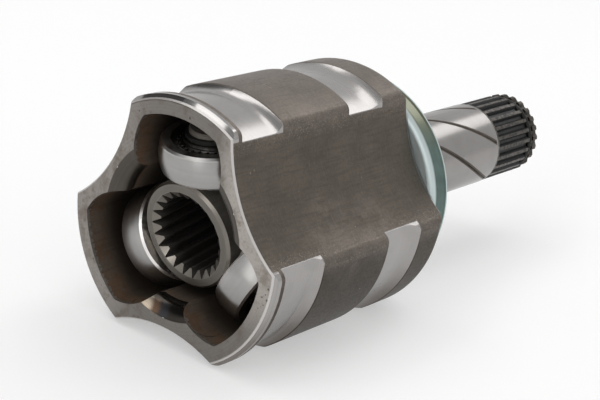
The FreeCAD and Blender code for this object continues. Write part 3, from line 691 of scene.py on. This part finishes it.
        # Painted shade: the outer rim is darker at its upper left
        upper = f.both(f.rise(f.y, -6.0, -1.0), f.rise(f.z, 20.0, 26.0))
        flat = f.lay(flat, f.math("MULTIPLY", f.both(rim, upper), 0.75), plain_skin(looks.pocket, 0.4, 0.3))
        # Painted highlight: the outer rim is lighter low down
        lower = f.rise(f.z, 4.0, -6.0)
        flat = f.lay(flat, f.math("MULTIPLY", f.both(rim, lower), 0.4), plain_skin(looks.turned, 1.1, 0.3))
        pit = plain_skin(looks.pocket, 0.45, 0.6, -0.05)
        pits = f.both(f.specks(0.45, 1.6, 0.10), f.rise(f.noise(0.09), 0.5, 0.62))
        flat = f.lay(flat, f.math("MULTIPLY", pits, 0.7), pit)
        for angle, radius, size in self.nicks:
            turn = math.radians(angle)
            spot = (MOUTH * MM, radius * math.cos(turn), radius * math.sin(turn))
            flat = f.lay(flat, f.math("MULTIPLY", f.near(spot, size), 0.85), pit)
        return f.lay(skin, f.rise(run, 0.03, 0.01), flat)

    def oil_grooves(self, f, looks, run):
        """1 on the oil grooves and their dark edges, which wind round like a coarse thread."""
        turn = f.math("SUBTRACT", f.angle, f.math("MULTIPLY_ADD", run, math.tau / (looks.oil_lead * MM),
                                                  looks.oil_start))
        pitch = math.tau / looks.oil_count
        offset = f.math("ABSOLUTE", f.math("WRAP", turn, 0.5 * pitch, -0.5 * pitch))
        slope = math.cos(math.atan(math.tau * looks.journal_radius / looks.oil_lead))
        reach = 0.5 * looks.oil_width / (looks.journal_radius * slope)
        return f.rise(f.ragged(offset, 0.003, 1.5), reach * 1.08, reach * 0.92)

    def finish_shaft(self, f, looks, run, skin):
        """Ground journal with dark oil grooves, and the coated spline with rubbed tooth tips."""
        start, end = looks.journal[0] * MM, looks.journal[1] * MM
        journal = turned_skin(f, looks.ground, f.x, 0.22, 3.0, 0.003)
        oiled = f.both(self.oil_grooves(f, looks, run), f.band(run, start + 0.7, end - 0.7, 0.3))
        journal = f.lay(journal, oiled, forged_skin(f, shade(looks.waist, 0.8), 0.02))
        neck = turned_skin(f, looks.turned, f.x, 0.3)
        skin = f.lay(skin, f.rise(run, start - 5.1, start - 5.0), neck)
        skin = f.lay(skin, f.rise(run, start - 0.05, start + 0.05), journal)
        coat = forged_skin(f, looks.coat, 0.02)
        rubbed = f.both(f.rise(f.radius, looks.journal_radius * MM - 0.35, looks.journal_radius * MM - 0.2),
                        f.rise(f.noise(0.9, detail=4.0), 0.35, 0.6))
        coat = f.lay(coat, f.math("MULTIPLY", rubbed, 0.6), plain_skin(looks.lobe, 1.0, 0.35))
        tail = f.rise(run, looks.clip_groove * MM + 2.3, looks.clip_groove * MM + 2.5)
        coat = f.lay(coat, f.math("MULTIPLY", tail, 0.5), plain_skin(looks.pocket, 0.5, 0.5))
        return f.lay(skin, f.rise(run, end - 0.05, end + 0.05), coat)


class SheetLooks(bpy.types.PropertyGroup):
    """Colours of the dust shield and of the circlips."""

    zinc: bpy.props.FloatVectorProperty(
        name="Zinc", description="Zinc coat of the dust shield's flat", size=3, subtype="COLOR",
        default=(0.62, 0.70, 0.70), min=0.0, max=1.0)
    zinc_rim: bpy.props.FloatVectorProperty(
        name="Zinc rim", description="Blue green tint of the coat on the rim", size=3, subtype="COLOR",
        default=(0.115, 0.165, 0.15), min=0.0, max=1.0)
    olive: bpy.props.FloatVectorProperty(
        name="Olive", description="Olive tint of the coat at the top of the rim", size=3, subtype="COLOR",
        default=(0.155, 0.165, 0.12), min=0.0, max=1.0)
    rim_start: bpy.props.FloatProperty(
        name="Rim start", description="Joint centre to where the shield's rim begins", default=0.0605,
        unit="LENGTH")
    lip_start: bpy.props.FloatProperty(
        name="Lip start", description="Joint centre to the lip at the end of the rim", default=0.0652,
        unit="LENGTH")
    spring: bpy.props.FloatVectorProperty(
        name="Spring steel", description="Oiled black spring steel", size=3, subtype="COLOR",
        default=(0.03, 0.03, 0.028), min=0.0, max=1.0)
    washer: bpy.props.FloatVectorProperty(
        name="Washer", description="Hardened washers", size=3, subtype="COLOR",
        default=(0.12, 0.115, 0.11), min=0.0, max=1.0)


class JOINT_OT_sheet_parts(bpy.types.Operator):
    """Finish the dust shield, the circlips and the washers"""

    bl_idname = "joint.sheet_parts"
    bl_label = "Shield, clips and washers"

    def execute(self, context):
        looks = context.scene.joint_sheet
        f = Finish("zinc_coat")
        skin = turned_skin(f, looks.zinc, f.radius, 0.5, 1.0, 0.002)
        rim = f.both(f.rise(f.x, looks.rim_start * MM - 0.4, looks.rim_start * MM + 0.4),
                     f.rise(f.x, looks.lip_start * MM + 0.1, looks.lip_start * MM - 0.1))
        tint = f.rise(f.noise(0.12, detail=4.0), 0.35, 0.65)
        rim_tone = f.mix(tint, shade(looks.zinc_rim, 0.85), shade(looks.zinc_rim, 1.25))
        rim_tone = f.mix(f.rise(f.ragged(f.z, 1.5, 0.1), 16.0, 27.0), rim_tone, shade(looks.olive, 1.0))
        dress(f.done(f.lay(skin, rim, Skin(rim_tone, 0.28, 0.0, 1.0))), "dust_shield")
        f = Finish("spring_steel")
        clips = ["trunnion_circlip_%d" % k for k in range(1, LOBES + 1)]
        dress(f.done(forged_skin(f, looks.spring, 0.01)), "stub_circlip", *clips)
        f = Finish("washer_steel")
        washers = [n % k for n in ("inner_washer_%d", "outer_washer_%d") for k in range(1, LOBES + 1)]
        dress(f.done(turned_skin(f, looks.washer, f.radius, 0.3, 1.0, 0.002)), *washers)
        return {"FINISHED"}


class TripodLooks(bpy.types.PropertyGroup):
    """Colours of the spider, its rollers and needles."""

    hub: bpy.props.FloatVectorProperty(
        name="Spider", description="Ground faces of the spider", size=3, subtype="COLOR",
        default=(0.15, 0.138, 0.122), min=0.0, max=1.0)
    # The bore's colour is the dark end of the painted shade inside the bore
    bore: bpy.props.FloatVectorProperty(
        name="Bore", description="Broached and oiled bore of the hub", size=3, subtype="COLOR",
        default=(0.06, 0.055, 0.05), min=0.0, max=1.0)
    bore_radius: bpy.props.FloatProperty(
        name="Bore radius", description="Tooth roots in the hub's bore", default=0.0132, unit="LENGTH")
    tooth_radius: bpy.props.FloatProperty(
        name="Tooth radius", description="Tooth tips in the hub's bore", default=0.0111, unit="LENGTH")
    tooth_chamfer: bpy.props.FloatProperty(
        name="Tooth chamfer", description="How deep the chamfer of the bore's teeth goes in from an end face",
        default=0.0014, unit="LENGTH")
    hub_length: bpy.props.FloatProperty(
        name="Hub length", description="Length of the hub", default=0.026, unit="LENGTH")
    roller: bpy.props.FloatVectorProperty(
        name="Roller", description="Ground roller steel", size=3, subtype="COLOR",
        default=(0.36, 0.35, 0.34), min=0.0, max=1.0)
    roller_grain: bpy.props.FloatProperty(
        name="Roller grain", description="How far the grinding draws its highlights out", default=0.7, min=0.0,
        max=1.0)
    roller_edges: bpy.props.FloatVectorProperty(
        name="Roller edges", description="Joint centre to the rollers' two bevels, along the trunnion",
        size=2, default=(0.0171, 0.0255), unit="LENGTH")
    needle: bpy.props.FloatVectorProperty(
        name="Needle", description="Needle steel", size=3, subtype="COLOR",
        default=(0.35, 0.34, 0.33), min=0.0, max=1.0)


def trunnion_way(number):
    """Direction of a trunnion at rest, leaned towards the mouth."""
    angle = FIRST_LOBE + (number - 1) * math.tau / LOBES
    return Vector((-math.sin(LEAN) * math.sin(angle), math.cos(angle), math.cos(LEAN) * math.sin(angle)))


class JOINT_OT_hub(bpy.types.Operator):
    """Model the spider with the teeth of its bore chamfered at both ends"""

    bl_idname = "joint.hub"
    bl_label = "Hub with chamfered teeth"
    # Sides of the cutting cone, how far its edge stays inside the tooth roots, and the angle of a sharp edge
    cone_sides, inset, sharp_degrees = 96, 0.05, 25

    def execute(self, context):
        looks = context.scene.joint_tripod
        piece = bpy.data.objects.new("spider_chamfered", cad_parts["spider"].data.copy())
        context.scene.collection.objects.link(piece)
        self.activate(context, piece)
        bpy.ops.object.mode_set(mode="EDIT")
        bpy.ops.mesh.select_all(action="SELECT")
        bpy.ops.mesh.customdata_custom_splitnormals_clear()
        bpy.ops.mesh.remove_doubles(threshold=WELD)
        bpy.ops.object.mode_set(mode="OBJECT")
        for side in (-1.0, 1.0):
            self.chamfer_teeth(context, piece, looks, side)
        bpy.ops.object.shade_smooth_by_angle(angle=math.radians(self.sharp_degrees))
        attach(piece, "tripod")
        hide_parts("spider")
        return {"FINISHED"}

    def activate(self, context, piece):
        bpy.ops.object.select_all(action="DESELECT")
        piece.select_set(True)
        context.view_layer.objects.active = piece

    def chamfer_teeth(self, context, piece, looks, side):
        """Cuts the tooth ends at one face with a cone, like a countersink."""
        chamfer, half = looks.tooth_chamfer, 0.5 * looks.hub_length
        over = 0.3 * chamfer
        slope = (looks.bore_radius - looks.tooth_radius) / chamfer
        wide = looks.bore_radius - self.inset / MM + slope * over
        bpy.ops.object.select_all(action="DESELECT")
        bpy.ops.mesh.primitive_cone_add(
            vertices=self.cone_sides, radius1=wide, radius2=wide - slope * (chamfer + 2.0 * over),
            depth=chamfer + 2.0 * over, location=HUB_AXIS * side * (half - 0.5 * chamfer),
            rotation=(HUB_AXIS * -side).to_track_quat("Z", "Y").to_euler())
        tool = context.object
        self.activate(context, piece)
        cutter = piece.modifiers.new("countersink", "BOOLEAN")
        cutter.operation, cutter.object = "DIFFERENCE", tool
        bpy.ops.object.modifier_apply(modifier=cutter.name)
        bpy.data.objects.remove(tool)


class JOINT_OT_tripod(bpy.types.Operator):
    """Finish the spider, the rollers and their needles"""

    bl_idname = "joint.tripod"
    bl_label = "Spider, rollers and needles"
    # Painted glint: a bright spot on the front face of the hub: centre and reach
    rubbed_spot = ((-11.4, 6.6, -11.4), 3.2)

    def execute(self, context):
        looks = context.scene.joint_tripod
        f = Finish("spider_steel")
        along, away = f.about(HUB_AXIS)
        front = -0.5 * looks.hub_length * MM
        skin = turned_skin(f, looks.hub, away, 0.34, 1.5)
        # Painted highlights along the hub's outer edge and the edge of its bore
        edges = f.either(f.rise(away, 15.2, 15.5), f.rise(away, 13.4, 13.2))
        skin = f.lay(skin, f.math("MULTIPLY", edges, 0.6), plain_skin(looks.hub, 1.6, 0.3))
        # Painted glint on the lower left of the hub's front face
        rubbed = f.near(*self.rubbed_spot)
        skin = f.lay(skin, f.math("MULTIPLY", rubbed, 0.9), plain_skin(looks.hub, 1.9, 0.3))
        side = f.both(f.rise(along, front + 0.75, front + 0.85), f.rise(away, 13.3, 13.4))
        skin = f.lay(skin, side, forged_skin(f, shade(looks.hub, 1.1), 0.02, 0.6))
        # Painted shade: the bore gets darker from its front face to 6 mm in
        tone = f.mix(f.rise(along, front, front + 6.0), shade(looks.hub, 1.2), shade(looks.bore, 1.0))
        drawn = f.lines(f.math("ARCTAN2", f.z, f.y), 14.0)
        tone = f.mix(f.math("MULTIPLY", f.rise(drawn, 0.4, 0.6), 0.4), tone, shade(looks.bore, 0.7))
        slope = (looks.bore_radius - looks.tooth_radius) / looks.tooth_chamfer
        past = f.math("SUBTRACT", f.math("MULTIPLY_ADD", f.math("SUBTRACT", along, front), slope, away),
                      looks.bore_radius * MM)
        inside = f.both(f.rise(away, looks.bore_radius * MM + 0.05, looks.bore_radius * MM),
                        f.rise(past, 0.08, 0.2))
        steel = f.done(f.lay(skin, inside, Skin(tone, 0.34, 0.0, 0.6)))
        dress(steel, "spider")
        piece = bpy.data.objects["spider_chamfered"]
        piece.data.materials.clear()
        piece.data.materials.append(steel)
        for number in range(1, LOBES + 1):
            dress(self.roller_steel(looks, number), "roller_%d" % number)
        f = Finish("needle_steel")
        dress(f.done(turned_skin(f, looks.needle, f.radius, 0.2, 1.0, 0.001)),
              *["needles_%d" % k for k in range(1, LOBES + 1)])
        return {"FINISHED"}

    def roller_steel(self, looks, number):
        """Ground round the trunnion, so that highlights are drawn out along it, with painted highlights on its
        two bevels.
        """
        f = Finish("roller_steel_%d" % number)
        height = f.about(trunnion_way(number))[0]
        skin = turned_skin(f, looks.roller, height, 0.3, 0.2, 0.0)
        low, high = looks.roller_edges[0] * MM, looks.roller_edges[1] * MM
        # Painted highlights on the roller's inner and outer bevels
        skin = f.lay(skin, f.rise(height, low + 0.1, low - 0.1), plain_skin(looks.roller, 2.5, 0.35))
        skin = f.lay(skin, f.rise(height, high - 0.1, high + 0.1), plain_skin(looks.roller, 1.2, 0.3))
        material = f.done(skin)
        f.shader.inputs["Anisotropic"].default_value = looks.roller_grain
        f.tree.links.new(f.together(*trunnion_way(number)), f.shader.inputs["Tangent"])
        return material


class JOINT_PT_looks(bpy.types.Panel):
    """Lists the steps that dress the joint"""

    bl_idname = "JOINT_PT_looks"
    bl_label = "Tripod joint"
    bl_space_type = "VIEW_3D"
    bl_region_type = "UI"
    bl_category = "Joint"

    def draw(self, context):
        for operator in OPERATORS:
            self.layout.operator(operator.bl_idname)


SETTINGS = {
    "joint_studio": StudioSizes,
    "joint_housing": HousingLooks,
    "joint_sheet": SheetLooks,
    "joint_tripod": TripodLooks,
}
OPERATORS = (JOINT_OT_studio, JOINT_OT_housing, JOINT_OT_sheet_parts, JOINT_OT_hub, JOINT_OT_tripod)
CLASSES = (*SETTINGS.values(), *OPERATORS, JOINT_PT_looks)


def register():
    for cls in CLASSES:
        bpy.utils.register_class(cls)
    for name, group in SETTINGS.items():
        setattr(bpy.types.Scene, name, bpy.props.PointerProperty(type=group))


def unregister():
    for name in SETTINGS:
        delattr(bpy.types.Scene, name)
    for cls in reversed(CLASSES):
        bpy.utils.unregister_class(cls)


def main():
    register()
    bpy.ops.joint.studio()
    bpy.ops.joint.housing()
    bpy.ops.joint.sheet_parts()
    bpy.ops.joint.hub()
    bpy.ops.joint.tripod()


if __name__ == "__main__":
    main()
